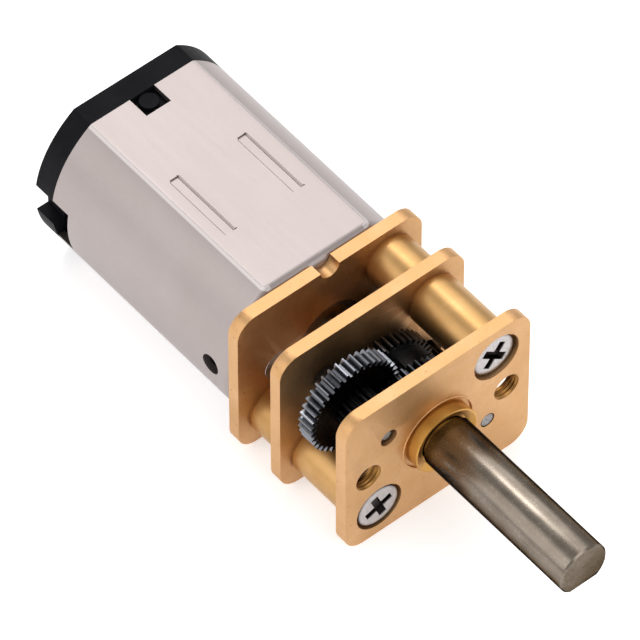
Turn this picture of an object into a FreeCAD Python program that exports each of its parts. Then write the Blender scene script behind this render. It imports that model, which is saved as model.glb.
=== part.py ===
import FreeCAD, Part
import math
import os
import re

# Micro metal gearmotor, millimetres.
# +X runs out along the output shaft, +Y across the 12 mm width, +Z up through the 10 mm height.
# The origin is on the shaft's axis, in the front (mounting) face of the front plate.
# A size that ends in "Reach" is measured from the shaft's axis, and one that ends in "Back" is
# measured rearwards from the mounting face.

doc = FreeCAD.newDocument("Gearmotor")
sheet = doc.addObject("Spreadsheet::Sheet", "Sizes")

sizes = {
    # gearbox plates
    "plateWidth": 12.0, "plateHeight": 10.0, "plateThick": 0.75, "plateCorner": 1.2,
    "middleBack": 5.1, "rearBack": 8.4, "wireNotch": 0.6,
    # output bushing and mounting holes
    "bushingRadius": 2.0, "bushingProud": 0.7, "bushingBore": 1.38, "bushingMouth": 1.92,
    "mouthDepth": 0.25, "bushingGroove": 2.3,
    "grooveDepth": 0.12, "mountSpacing": 9.0, "mountHole": 0.8,
    # spacer posts and the long screws through them
    "screwSide": 3.8, "screwRise": 2.95, "spacerRadius": 1.5, "spacerBore": 0.85, "spacerShoulder": 0.12,
    "screwRadius": 0.78, "headRadius": 1.3, "headRecess": 1.45, "recessDepth": 0.55, "headThick": 0.42,
    "crossSpan": 2.0, "crossWidth": 0.42, "crossDepth": 0.3, "screwEndBack": 9.05,
    "upperHeadSink": 0.16, "lowerHeadSink": 0.03, "upperCrossTurn": 51.0, "lowerCrossTurn": 21.0,
    # countersunk screws that hold the rear plate to the motor
    "motorScrewReach": 3.3, "motorHeadRadius": 0.95, "motorHeadThick": 0.5, "motorScrewRadius": 0.48,
    "motorScrewEndBack": 10.1, "motorCrossHalf": 0.57, "motorCrossWidth": 0.18,
    # gear train
    "gearModule": 0.14, "toothThinning": 0.02, "pressureAngle": 20.0, "dedendum": 1.25,
    "motorTeeth": 15, "firstWheelTeeth": 38, "firstPinionTeeth": 13, "secondWheelTeeth": 40,
    "secondPinionTeeth": 16, "thirdWheelTeeth": 39, "thirdPinionTeeth": 15, "outputTeeth": 40,
    "firstAngle": -27.5, "thirdAngle": 146.0, "axleRadius": 0.4, "runClearance": 0.02,
    "axleSink": 0.03, "axleRecess": 0.52, "axleRecessDepth": 0.2,
    "firstWheelBack": 7.4, "firstWheelThick": 0.7, "firstPinionBack": 3.75, "firstHub": 0.62,
    "firstHubEndBack": 8.36, "pinionWindow": 1.25,
    "secondWheelBack": 3.85, "secondWheelThick": 0.85, "secondPinionBack": 2.58, "secondHub": 0.78,
    "secondHubEndBack": 5.05,
    "thirdWheelBack": 2.6, "thirdWheelThick": 1.0, "thirdPinionBack": 0.9, "thirdHub": 0.68,
    "thirdHubEndBack": 5.05,
    "motorPinionBack": 6.6, "motorPinionEndBack": 8.3,
    # output shaft
    "shaftRadius": 1.5, "journalRadius": 1.34, "journalGap": 0.04, "shaftTip": 11.17,
    "shaftChamfer": 0.1, "flatLevel": 1.1,
    "shoulderBack": 1.2, "gearSeat": 1.2, "spigotRadius": 0.5, "spigotEndBack": 5.7,
    "outputGearBack": 1.4, "outputGearThick": 1.1, "washerRadius": 2.2, "washerThick": 0.3,
    "washerGap": 0.08,
    # motor can
    "canBack": 9.15, "canEndBack": 23.37, "canRadius": 6.0, "canHeight": 10.0, "canWall": 0.4,
    "canBlend": 1.0, "canFrontRound": 0.55, "canBossRadius": 1.9, "canBossProud": 0.5,
    "frontWallDepth": 0.8, "topNotchDepth": 0.8, "sideNotchDepth": 1.2,
    "ribReach": 2.15, "ribWidth": 0.53, "ribDepth": 0.2, "ribFrontBack": 13.35, "ribEndBack": 17.9,
    "topNotchHalf": 0.8, "topNotchBack": 22.0, "sideNotchRise": 0.95, "sideNotchDrop": 1.95,
    "sideNotchBack": 22.1,
    "ventRadius": 0.6, "ventBack": 10.6,
    # end cap, bearings and electrical parts
    "capEndBack": 24.73, "capSlotHalf": 0.93, "capSlotDepth": 0.8, "collarRadius": 5.1,
    "collarBore": 4.25, "collarHeight": 9.0, "collarBack": 21.9, "lugHalf": 0.74, "lugTop": 4.6,
    "lugFrontBack": 22.06, "pipRadius": 0.52, "pipBack": 22.8, "pipTop": 4.88, "capBore": 1.5,
    "rearBossRadius": 2.25, "rearBossBore": 1.0, "rearBossProud": 0.7,
    "bearingRadius": 1.5, "bearingBore": 0.52, "frontBearingBack": 8.65, "frontBearingEndBack": 9.95,
    "rearBearingBack": 23.9, "rearBearingEndBack": 25.2,
    "terminalReach": 3.6, "terminalThick": 0.3, "terminalHalf": 0.9, "terminalBack": 21.9,
    "terminalEndBack": 25.15,
    "brushReach": 1.22, "brushThick": 0.15, "brushLow": 1.4, "brushHigh": 1.9, "brushBack": 21.6,
    "brushEndBack": 22.5,
    # magnets and rotor
    "magnetRadius": 5.5, "magnetBore": 4.25, "magnetAngle": 98.0, "magnetBack": 11.0,
    "magnetEndBack": 20.5, "springReach": 2.7, "springLevel": 4.28, "springThick": 0.2,
    "springBack": 13.0, "springEndBack": 18.5,
    "motorShaftRadius": 0.5, "motorShaftBack": 6.5, "motorShaftEndBack": 25.1,
    "coreRadius": 3.9, "shoeInner": 3.3, "shoeAngle": 98.0, "coreHub": 1.3, "poleWidth": 1.5,
    "coreBack": 12.5, "coreEndBack": 19.5, "coilWidth": 2.8, "coilLow": 1.6, "coilHigh": 2.9,
    "coilOverhang": 0.7, "commutatorRadius": 1.2, "commutatorInner": 0.86, "commutatorBack": 20.95,
    "commutatorEndBack": 22.6, "segmentAngle": 112.0, "varistorRadius": 2.1, "varistorBack": 20.4,
    "varistorEndBack": 20.8, "shimRadius": 1.1, "shimThick": 0.15, "rearShimStand": 0.45,
}
for row, (alias, value) in enumerate(sizes.items(), 1):
    sheet.set(f"A{row}", alias)
    sheet.set(f"B{row}", str(value))
    sheet.setAlias(f"B{row}", alias)
doc.recompute()

# Turns a piece's own x, y and z into the row's Y, Z and X, so its length runs along the shaft.
along_shaft = FreeCAD.Rotation(FreeCAD.Vector(1, 1, 1), 120)
shaft_axis = FreeCAD.Vector(1, 0, 0)
nodes = []

# Axes of the two idler shafts, worked out from the tooth counts.
first_reach = "(gearModule * (motorTeeth + firstWheelTeeth) / 2)"
third_reach = "(gearModule * (secondPinionTeeth + thirdWheelTeeth) / 2)"
first_axis = (f"{first_reach} * cos(firstAngle)", f"{first_reach} * sin(firstAngle)")
third_axis = (f"{third_reach} * cos(thirdAngle)", f"{third_reach} * sin(thirdAngle)")
centre_axis = ("0", "0")


def bound(text):
    """An expression in the sheet's own words, such as "plateThick / 2", in FreeCAD's form."""
    return re.sub(r"\b[a-z]\w+\b(?!\()", lambda word: "Sizes." + word.group(), text)


def bind(item, **expressions):
    for name, text in expressions.items():
        item.setExpression(name, bound(text))


def place(item, x, y, z):
    for axis, text in zip("xyz", (x, y, z)):
        item.setExpression("Placement.Base." + axis, bound(text))


class Piece:
    """One sub-part, a PartDesign body made of primitives that are added or cut away in turn."""

    def __init__(self, label):
        self.label = label
        self.body = doc.addObject("PartDesign::Body", label)
        self.body.Label = label
        self.count = 0
        nodes.append(self.body)

    def feature(self, kind):
        self.count += 1
        return self.body.newObject("PartDesign::" + kind, f"{self.label}_{self.count}")

    def rod(self, front, back, radius, at=centre_axis, cut=False, angle=None, turn=0.0):
        """A cylinder along the shaft, from front to back, both measured rearwards."""
        item = self.feature("SubtractiveCylinder" if cut else "AdditiveCylinder")
        spin = FreeCAD.Rotation(shaft_axis, turn)
        item.Placement = FreeCAD.Placement(FreeCAD.Vector(), spin.multiply(along_shaft))
        bind(item, Radius=radius, Height=f"({back}) - ({front})")
        if angle:
            bind(item, Angle=angle)
        place(item, f"-({back})", *at)
        return self

    def cone(self, front, back, front_radius, back_radius, at=centre_axis, cut=False):
        item = self.feature("SubtractiveCone" if cut else "AdditiveCone")
        item.Placement = FreeCAD.Placement(FreeCAD.Vector(), along_shaft)
        bind(item, Radius1=back_radius, Radius2=front_radius, Height=f"({back}) - ({front})")
        place(item, f"-({back})", *at)
        return self

    def block(self, front, back, side, rise, cut=False):
        """A box; side and rise are its (low, high) limits along Y and Z."""
        item = self.feature("SubtractiveBox" if cut else "AdditiveBox")
        bind(
            item,
            Length=f"({back}) - ({front})",
            Width=f"({side[1]}) - ({side[0]})",
            Height=f"({rise[1]}) - ({rise[0]})",
        )
        place(item, f"-({back})", side[0], rise[0])
        return self

    def bar(self, front, back, width, low, high, turn, at=centre_axis, cut=False):
        """A box that stands off an axis at an angle: width across, from low to high outwards."""
        item = self.feature("SubtractiveBox" if cut else "AdditiveBox")
        spin = FreeCAD.Rotation(shaft_axis, turn)
        bind(item, Length=f"({back}) - ({front})", Width=f"({high}) - ({low})", Height=width)
        cosine = math.cos(math.radians(turn))
        sine = math.sin(math.radians(turn))
        item.Placement = FreeCAD.Placement(FreeCAD.Vector(), spin)
        place(
            item,
            f"-({back})",
            f"({at[0]}) + ({low}) * {cosine:.6f} + ({width}) / 2 * {sine:.6f}",
            f"({at[1]}) + ({low}) * {sine:.6f} - ({width}) / 2 * {cosine:.6f}",
        )
        return self

    def round_edges(self, radius, chosen):
        """Fillets the edges of the present tip that chosen(edge) picks."""
        doc.recompute()
        base = self.body.Tip
        edges = [f"Edge{i}" for i, edge in enumerate(base.Shape.Edges, 1) if chosen(edge)]
        item = self.feature("Fillet")
        item.Base = (base, edges)
        bind(item, Radius=radius)
        return self


def runs_along_shaft(edge):
    ends = [vertex.Point for vertex in edge.Vertexes]
    return len(ends) == 2 and abs(abs((ends[1] - ends[0]).x) - edge.Length) < 1e-6


def lies_at(edge, x):
    return abs(edge.BoundBox.XMin - x) < 1e-6 and abs(edge.BoundBox.XMax - x) < 1e-6


def group(label, pieces):
    """Identical pieces as one node of separate solids."""
    for piece in pieces:
        nodes.remove(piece.body)
    item = doc.addObject("Part::Compound", label)
    item.Label = label
    item.Links = [piece.body for piece in pieces]
    nodes.append(item)


# ---- gear teeth -----------------------------------------------------------------------------


flank_steps = 3


def involute(angle):
    return math.tan(angle) - angle


def tooth_ring(teeth, first_tooth):
    """The closed outline of a gear in its own xy plane, with one tooth centred at first_tooth."""
    module = sheet.gearModule
    pressure = math.radians(sheet.pressureAngle)
    pitch = module * teeth / 2
    base = pitch * math.cos(pressure)
    root = pitch - sheet.dedendum * module
    tip = pitch + module
    half_tooth = math.pi / (2 * teeth) - sheet.toothThinning / (2 * pitch)
    start = max(base, root)
    radii = [root] if root < base else []
    radii += [start + (tip - start) * step / flank_steps for step in range(flank_steps + 1)]

    def half_angle(radius):
        at = math.acos(min(1.0, base / radius))
        return half_tooth + involute(pressure) - involute(at)

    def point(radius, angle):
        return FreeCAD.Vector(radius * math.cos(angle), radius * math.sin(angle), 0)

    flank = [(radius, half_angle(max(radius, base))) for radius in radii]
    edges = []
    last = None
    first = None
    for number in range(teeth):
        middle = math.radians(first_tooth) + 2 * math.pi * number / teeth
        rising = [point(radius, middle - half) for radius, half in flank]
        falling = [point(radius, middle + half) for radius, half in reversed(flank)]
        if last is None:
            first = rising[0]
        else:
            gap = point(root, middle - math.pi / teeth)
            edges.append(Part.Arc(last, gap, rising[0]).toShape())
        for chain in (rising, falling):
            edges += [Part.LineSegment(a, b).toShape() for a, b in zip(chain, chain[1:])]
        edges.append(Part.Arc(rising[-1], point(tip, middle), falling[0]).toShape())
        last = falling[-1]
    gap = point(root, math.radians(first_tooth) - math.pi / teeth)
    edges.append(Part.Arc(last, gap, first).toShape())
    return Part.Wire(Part.__sortEdges__(edges))


def sheet_value(text):
    """The number that an expression in the sheet's words stands for."""
    probe = doc.addObject("App::FeaturePython", "Probe")
    probe.addProperty("App::PropertyFloat", "Value")
    probe.setExpression("Value", bound(text))
    probe.recompute()
    value = probe.Value
    doc.removeObject(probe.Name)
    return value


def gear(label, teeth, first_tooth, front, back, bore, at=centre_axis, hub=None):
    """A spur gear from front to back. hub is its plain sleeve behind the teeth: (radius, end)."""
    width = sheet_value(f"({back}) - ({front})")
    ring = Part.Face(tooth_ring(int(sheet_value(teeth)), first_tooth))
    solid = ring.extrude(FreeCAD.Vector(0, 0, width))
    length = width
    if hub:
        length = sheet_value(f"({hub[1]}) - ({front})")
        sleeve = Part.makeCylinder(sheet_value(hub[0]), length - width, FreeCAD.Vector(0, 0, width - length))
        solid = solid.fuse(sleeve)
    hole = Part.makeCylinder(sheet_value(bore), length + 2, FreeCAD.Vector(0, 0, width - length - 1))
    item = doc.addObject("Part::Feature", label)
    item.Label = label
    item.Shape = solid.cut(hole)
    where = FreeCAD.Vector(-sheet_value(back), sheet_value(at[0]), sheet_value(at[1]))
    item.Placement = FreeCAD.Placement(where, along_shaft)
    nodes.append(item)


# ---- plates, spacers and screws ---------------------------------------------------------------

half_width = "plateWidth / 2"
half_height = "plateHeight / 2"
screw_axes = {"upper": ("screwSide", "screwRise"), "lower": ("-screwSide", "-screwRise")}


def plate(label, front):
    back = f"{front} + plateThick"
    piece = Piece(label)
    piece.block(front, back, ("-" + half_width, half_width), ("-" + half_height, half_height))
    piece.round_edges("plateCorner", runs_along_shaft)
    return piece, back


front_plate, front_plate_back = plate("front_plate", "0")
front_plate.rod("0", front_plate_back, "bushingRadius", cut=True)
front_plate.rod("0", "grooveDepth", "bushingGroove", cut=True)
for side in ("mountSpacing / 2", "-mountSpacing / 2"):
    front_plate.rod("0", front_plate_back, "mountHole", at=(side, "0"), cut=True)
for at in screw_axes.values():
    front_plate.rod("0", "recessDepth", "headRecess", at=at, cut=True)
    front_plate.rod("0", front_plate_back, "spacerBore", at=at, cut=True)
for at in (first_axis, third_axis):
    front_plate.rod("0", front_plate_back, "axleRadius", at=at, cut=True)
front_plate.rod("0", "axleRecessDepth", "axleRecess", at=third_axis, cut=True)

output_bushing = Piece("output_bushing")
output_bushing.rod("-bushingProud", "plateThick", "bushingRadius")
output_bushing.rod("-bushingProud", "plateThick", "bushingBore", cut=True)
output_bushing.cone("-bushingProud", "mouthDepth - bushingProud", "bushingMouth", "shaftRadius", cut=True)

middle_plate, middle_plate_back = plate("middle_plate", "middleBack")
middle_plate.rod("middleBack", middle_plate_back, "spigotRadius + runClearance", cut=True)
middle_plate.rod("middleBack", middle_plate_back, "pinionWindow", at=first_axis, cut=True)
middle_plate.rod("middleBack", middle_plate_back, "axleRadius", at=third_axis, cut=True)
for at in screw_axes.values():
    middle_plate.rod("middleBack", middle_plate_back, "spacerBore", at=at, cut=True)

rear_plate, rear_plate_back = plate("rear_plate", "rearBack")
rear_plate.rod("rearBack", rear_plate_back, "bushingRadius", cut=True)
rear_plate.rod("rearBack", rear_plate_back, "axleRadius", at=first_axis, cut=True)
rear_plate.rod("rearBack", rear_plate_back, "wireNotch", at=("0", half_height), cut=True)
for at in screw_axes.values():
    rear_plate.rod("rearBack", rear_plate_back, "screwRadius", at=at, cut=True)
for side in ("motorScrewReach", "-motorScrewReach"):
    head_back = "rearBack + motorHeadThick"
    rear_plate.cone("rearBack", head_back, "motorHeadRadius", "motorScrewRadius", (side, "0"), cut=True)
    rear_plate.rod("rearBack", rear_plate_back, "motorScrewRadius", at=(side, "0"), cut=True)

compartments = {"front": (front_plate_back, "middleBack"), "rear": (middle_plate_back, "rearBack")}
for name, (front, back) in compartments.items():
    for level, at in screw_axes.items():
        spacer = Piece(f"{name}_spacer_{level}")
        spacer.rod(front, f"{back} - spacerShoulder", "spacerRadius", at=at)
        spacer.cone(f"{back} - spacerShoulder", back, "spacerRadius", "spacerRadius - spacerShoulder", at)
        spacer.rod(front, back, "spacerBore", at=at, cut=True)

long_screws = []
for level, at in screw_axes.items():
    sink = level + "HeadSink"
    first_turn = sheet.getPropertyByName(level + "CrossTurn")
    screw = Piece(f"gearbox_screw_{level}")
    screw.rod(f"{sink} + headThick", "screwEndBack", "screwRadius", at=at)
    screw.cone(sink, f"{sink} + headThick / 2", "headRadius - headThick / 4", "headRadius", at)
    screw.cone(f"{sink} + headThick / 2", f"{sink} + headThick", "headRadius", "screwRadius", at)
    for turn in (first_turn, first_turn + 90):
        limits = ("-crossSpan / 2", "crossSpan / 2")
        screw.bar(sink, f"{sink} + crossDepth", "crossWidth", *limits, turn, at, True)
    long_screws.append(screw)
group("gearbox_screws", long_screws)

short_screws = []
for name, side in {"right": "motorScrewReach", "left": "-motorScrewReach"}.items():
    at = (side, "0")
    screw = Piece(f"motor_screw_{name}")
    screw.rod("rearBack + motorHeadThick", "motorScrewEndBack", "motorScrewRadius", at=at)
    screw.cone("rearBack", "rearBack + motorHeadThick", "motorHeadRadius", "motorScrewRadius", at)
    for turn in (0, 90):
        limits = ("-motorCrossHalf", "motorCrossHalf")
        screw.bar("rearBack", "rearBack + crossDepth", "motorCrossWidth", *limits, turn, at, True)
    short_screws.append(screw)
group("motor_screws", short_screws)

# ---- gear train ---------------------------------------------------------------------------------

first_mesh = sheet.firstAngle
third_mesh = sheet.thirdAngle
idler_bore = "axleRadius + runClearance"

gear("motor_pinion", "motorTeeth", first_mesh, "motorPinionBack", "motorPinionEndBack", "motorShaftRadius")

gear(
    "first_idler_wheel", "firstWheelTeeth", first_mesh + 180 + 180 / sheet.firstWheelTeeth,
    "firstWheelBack", "firstWheelBack + firstWheelThick", "firstHub", first_axis,
)
gear(
    "first_idler_pinion", "firstPinionTeeth", first_mesh + 180,
    "firstPinionBack", "firstWheelBack", idler_bore, first_axis, ("firstHub", "firstHubEndBack"),
)
gear(
    "second_idler_wheel", "secondWheelTeeth", first_mesh + 180 / sheet.secondWheelTeeth,
    "secondWheelBack", "secondWheelBack + secondWheelThick", "secondHub",
)
gear(
    "second_idler_pinion", "secondPinionTeeth", third_mesh,
    "secondPinionBack", "secondWheelBack", "spigotRadius + runClearance",
    centre_axis, ("secondHub", "secondHubEndBack"),
)
gear(
    "third_idler_wheel", "thirdWheelTeeth", third_mesh + 180 + 180 / sheet.thirdWheelTeeth,
    "thirdWheelBack", "thirdWheelBack + thirdWheelThick", "thirdHub", third_axis,
)
gear(
    "third_idler_pinion", "thirdPinionTeeth", third_mesh + 180,
    "thirdPinionBack", "thirdWheelBack", idler_bore, third_axis, ("thirdHub", "thirdHubEndBack"),
)
gear(
    "output_gear", "outputTeeth", third_mesh + 180 / sheet.outputTeeth,
    "outputGearBack", "outputGearBack + outputGearThick", "gearSeat",
)

Piece("first_idler_axle").rod("axleSink", rear_plate_back, "axleRadius", at=first_axis)
Piece("third_idler_axle").rod("axleRecessDepth", middle_plate_back, "axleRadius", at=third_axis)

output_shaft = Piece("output_shaft")
output_shaft.cone("-shaftTip", "shaftChamfer - shaftTip", "shaftRadius - shaftChamfer", "shaftRadius")
wall_end = "-bushingProud - journalGap"
output_shaft.rod("shaftChamfer - shaftTip", wall_end, "shaftRadius")
output_shaft.rod(wall_end, "shoulderBack", "journalRadius")
output_shaft.rod("shoulderBack", "outputGearBack + outputGearThick", "gearSeat")
output_shaft.rod("outputGearBack + outputGearThick", "spigotEndBack", "spigotRadius")
below_flat = ("-shaftRadius", "-flatLevel")
output_shaft.block("-shaftTip", wall_end, ("-shaftRadius", "shaftRadius"), below_flat, cut=True)

washer_front = "plateThick + washerGap"
washer = Piece("output_thrust_washer")
washer.rod(washer_front, f"{washer_front} + washerThick", "washerRadius")
washer.rod(washer_front, f"{washer_front} + washerThick", "journalRadius + runClearance", cut=True)

# ---- motor can ------------------------------------------------------------------------------------

can_half = "canHeight / 2"


def flat_sided(piece, front, back, radius, half, blend):
    """A round bar with its top and bottom cut flat and the four long corners softened."""
    piece.rod(front, back, radius)
    for rise in ((half, radius), ("-" + radius, "-" + half)):
        piece.block(front, back, ("-" + radius, radius), rise, cut=True)
    if blend:
        piece.round_edges(blend, runs_along_shaft)


can = Piece("motor_can")
flat_sided(can, "canBack", "canEndBack", "canRadius", can_half, "canBlend")
can.round_edges("canFrontRound", lambda edge: lies_at(edge, -sheet.canBack))
doc.recompute()
open_face = max(
    range(len(can.body.Tip.Shape.Faces)),
    key=lambda i: -can.body.Tip.Shape.Faces[i].CenterOfMass.x,
)
full = can.body.Tip
shell = can.feature("Thickness")
shell.Base = (full, [f"Face{open_face + 1}"])
shell.Reversed = True
bind(shell, Value="canWall")
doc.recompute()
can.rod("canBack - canBossProud", "canBack", "canBossRadius")
can.rod("canBack - canBossProud", "canBack + frontWallDepth", "bearingRadius", cut=True)
for side in ("motorScrewReach", "-motorScrewReach"):
    can.rod("canBack", "canBack + frontWallDepth", "motorScrewRadius", at=(side, "0"), cut=True)
for side in ("ribReach", "-ribReach"):
    across = (f"{side} - ribWidth / 2", f"{side} + ribWidth / 2")
    can.block("ribFrontBack", "ribEndBack", across, (f"{can_half} - ribDepth", can_half), cut=True)
top_rise = (f"{can_half} - topNotchDepth", can_half)
can.block("topNotchBack", "canEndBack", ("-topNotchHalf", "topNotchHalf"), top_rise, cut=True)
side_limits = (("canRadius - sideNotchDepth", "canRadius"), ("-canRadius", "sideNotchDepth - canRadius"))
for side in side_limits:
    can.block("sideNotchBack", "canEndBack", side, ("-sideNotchDrop", "sideNotchRise"), cut=True)
    vent = can.feature("SubtractiveCylinder")
    vent.Placement = FreeCAD.Placement(FreeCAD.Vector(), FreeCAD.Rotation(shaft_axis, -90))
    bind(vent, Radius="ventRadius", Height=f"({side[1]}) - ({side[0]})")
    place(vent, "-ventBack", side[0], "0")

# ---- end cap and the parts it carries -----------------------------------------------------------

cap = Piece("end_cap")
flat_sided(cap, "canEndBack", "capEndBack", "canRadius", can_half, "canBlend")
cap.rod("collarBack", "canEndBack", "collarRadius")
for rise in (("collarHeight / 2", "canRadius"), ("-canRadius", "-collarHeight / 2")):
    cap.block("collarBack", "canEndBack", ("-canRadius", "canRadius"), rise, cut=True)
cap.rod("collarBack", "canEndBack", "collarBore", cut=True)
cap.block("lugFrontBack", "canEndBack", ("-lugHalf", "lugHalf"), ("collarBore", "lugTop"))
pip = cap.feature("AdditiveCylinder")
bind(pip, Radius="pipRadius", Height="pipTop - collarBore")
place(pip, "-pipBack", "0", "collarBore")
for side in (("canRadius - capSlotDepth", "canRadius"), ("-canRadius", "capSlotDepth - canRadius")):
    cap.block("canEndBack", "capEndBack", side, ("-capSlotHalf", "capSlotHalf"), cut=True)
cap.rod("capEndBack", "capEndBack + rearBossProud", "rearBossRadius")
cap.rod("canEndBack", "rearBearingBack", "capBore", cut=True)
cap.rod("rearBearingBack", "rearBearingEndBack", "bearingRadius", cut=True)
cap.rod("rearBearingEndBack", "capEndBack + rearBossProud", "rearBossBore", cut=True)
for sign in (1, -1):
    near, far = (f"{sign} * terminalReach", f"{sign} * (terminalReach + terminalThick)")
    side = (near, far) if sign > 0 else (far, near)
    cap.block("canEndBack", "capEndBack", side, ("-terminalHalf", "terminalHalf"), cut=True)

for name, front, back in (
    ("front_bearing", "frontBearingBack", "frontBearingEndBack"),
    ("rear_bearing", "rearBearingBack", "rearBearingEndBack"),
):
    Piece(name).rod(front, back, "bearingRadius").rod(front, back, "bearingBore", cut=True)


def mirrored(sign, low, high):
    """Limits along Y on the right (sign 1) or the left (sign -1)."""
    return (low, high) if sign > 0 else (f"-({high})", f"-({low})")


for name, sign in (("right", 1), ("left", -1)):
    terminal = Piece(f"terminal_{name}")
    blade = mirrored(sign, "terminalReach", "terminalReach + terminalThick")
    terminal.block("terminalBack", "terminalEndBack", blade, ("-terminalHalf", "terminalHalf"))
    brush = Piece(f"brush_{name}")
    arm = mirrored(sign, "brushReach", "brushReach + brushThick")
    shelf = mirrored(sign, "brushReach", "terminalReach")
    foot = mirrored(sign, "terminalReach - brushThick", "terminalReach")
    brush.block("brushBack", "brushEndBack", arm, ("-brushLow", "brushHigh"))
    brush.block("brushBack", "brushEndBack", shelf, ("brushHigh - brushThick", "brushHigh"))
    brush.block("brushBack", "brushEndBack", foot, ("0", "brushHigh"))

for name, middle in (("right", 0), ("left", 180)):
    magnet = Piece(f"magnet_{name}")
    start = middle - sheet.magnetAngle / 2
    magnet.rod("magnetBack", "magnetEndBack", "magnetRadius", angle="magnetAngle", turn=start)
    magnet.rod("magnetBack", "magnetEndBack", "magnetBore", cut=True)
Piece("magnet_spring").block(
    "springBack", "springEndBack", ("-springReach", "springReach"),
    ("springLevel", "springLevel + springThick"),
)

# ---- rotor ------------------------------------------------------------------------------------------

Piece("motor_shaft").rod("motorShaftBack", "motorShaftEndBack", "motorShaftRadius")

pole_turns = (90, 210, 330)
core = Piece("armature_core")
core.rod("coreBack", "coreEndBack", "coreHub")
for turn in pole_turns:
    core.rod("coreBack", "coreEndBack", "coreRadius", angle="shoeAngle", turn=turn - sheet.shoeAngle / 2)
core.rod("coreBack", "coreEndBack", "shoeInner", cut=True)
core.rod("coreBack", "coreEndBack", "coreHub")
for turn in pole_turns:
    core.bar("coreBack", "coreEndBack", "poleWidth", "coreHub / 2", "(coreRadius + shoeInner) / 2", turn)
core.rod("coreBack", "coreEndBack", "motorShaftRadius", cut=True)

coil_front = "coreBack - coilOverhang"
coil_back = "coreEndBack + coilOverhang"
for number, turn in enumerate(pole_turns, 1):
    coil = Piece(f"winding_{number}")
    coil.bar(coil_front, coil_back, "coilWidth", "coilLow", "coilHigh", turn)
    coil.bar("coreBack", "coreEndBack", "poleWidth", "coreHub / 2", "coreRadius", turn, cut=True)

hub = Piece("commutator_hub")
hub.rod("commutatorBack", "commutatorEndBack", "commutatorInner")
hub.rod("commutatorBack", "commutatorEndBack", "motorShaftRadius", cut=True)

segments = []
for number, turn in enumerate(pole_turns, 1):
    segment = Piece(f"commutator_segment_{number}")
    start = turn - sheet.segmentAngle / 2
    segment.rod("commutatorBack", "commutatorEndBack", "commutatorRadius", angle="segmentAngle", turn=start)
    segment.rod("commutatorBack", "commutatorEndBack", "commutatorInner", cut=True)
    segments.append(segment)
group("commutator_segments", segments)

varistor = Piece("varistor_ring")
varistor.rod("varistorBack", "varistorEndBack", "varistorRadius")
varistor.rod("varistorBack", "varistorEndBack", "commutatorInner", cut=True)

shims = []
shim_fronts = {"front": "frontBearingEndBack + shimThick", "rear": "rearBearingBack - rearShimStand"}
for name, front in shim_fronts.items():
    shim = Piece(f"shim_{name}")
    shim.rod(front, f"{front} + shimThick", "shimRadius")
    shim.rod(front, f"{front} + shimThick", "motorShaftRadius", cut=True)
    shims.append(shim)
group("shim_washers", shims)

# ---- checks and export --------------------------------------------------------------------------

doc.recompute()
for item in doc.Objects:
    if "Invalid" in item.State or "Error" in item.State:
        raise RuntimeError(f"{item.Label} did not recompute: {item.State}")
for item in nodes:
    shape = item.Shape
    if shape.isNull() or not shape.isValid() or shape.Volume <= 0:
        raise RuntimeError(f"{item.Label} has no valid solid")

os.makedirs("parts", exist_ok=True)
for item in nodes:
    item.Shape.exportStep(f"parts/{item.Label}.step")
print(len(nodes), "sub-parts written")
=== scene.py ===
import math

import bpy
from mathutils import Matrix, Vector


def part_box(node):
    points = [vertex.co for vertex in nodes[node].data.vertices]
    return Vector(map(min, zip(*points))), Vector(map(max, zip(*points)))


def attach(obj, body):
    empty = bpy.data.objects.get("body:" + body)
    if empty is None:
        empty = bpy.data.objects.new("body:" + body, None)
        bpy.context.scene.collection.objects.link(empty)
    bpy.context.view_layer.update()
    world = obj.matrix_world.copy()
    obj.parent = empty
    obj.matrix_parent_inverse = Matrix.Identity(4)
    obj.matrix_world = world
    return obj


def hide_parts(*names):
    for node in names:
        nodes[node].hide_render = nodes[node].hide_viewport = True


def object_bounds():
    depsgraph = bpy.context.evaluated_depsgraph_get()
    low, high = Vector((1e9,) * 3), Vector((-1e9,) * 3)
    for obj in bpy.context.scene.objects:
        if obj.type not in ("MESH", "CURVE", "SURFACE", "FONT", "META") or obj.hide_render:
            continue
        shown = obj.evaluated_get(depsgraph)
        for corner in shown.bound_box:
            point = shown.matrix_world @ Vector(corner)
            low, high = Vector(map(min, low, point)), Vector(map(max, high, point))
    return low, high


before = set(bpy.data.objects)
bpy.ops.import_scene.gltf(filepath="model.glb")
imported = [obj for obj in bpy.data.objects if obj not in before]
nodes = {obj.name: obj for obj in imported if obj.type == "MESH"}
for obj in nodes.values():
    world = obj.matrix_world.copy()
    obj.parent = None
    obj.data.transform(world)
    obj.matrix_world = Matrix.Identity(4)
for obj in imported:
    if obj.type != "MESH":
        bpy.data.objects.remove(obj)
cadBox = [list(corner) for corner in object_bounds()]
mm = 0.001
tinyGap = 1e-7  # metres, for merging doubled vertices


# Modelling helpers, all in metres

def clearSelection():
    if bpy.context.object and bpy.context.object.mode != "OBJECT":
        bpy.ops.object.mode_set(mode="OBJECT")
    bpy.ops.object.select_all(action="DESELECT")


def chooseOnly(piece):
    clearSelection()
    piece.select_set(True)
    bpy.context.view_layer.objects.active = piece


def startPiece(name):
    piece = bpy.context.object
    piece.name = name
    bpy.ops.object.transform_apply(location=True, rotation=True, scale=True)
    return piece


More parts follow.
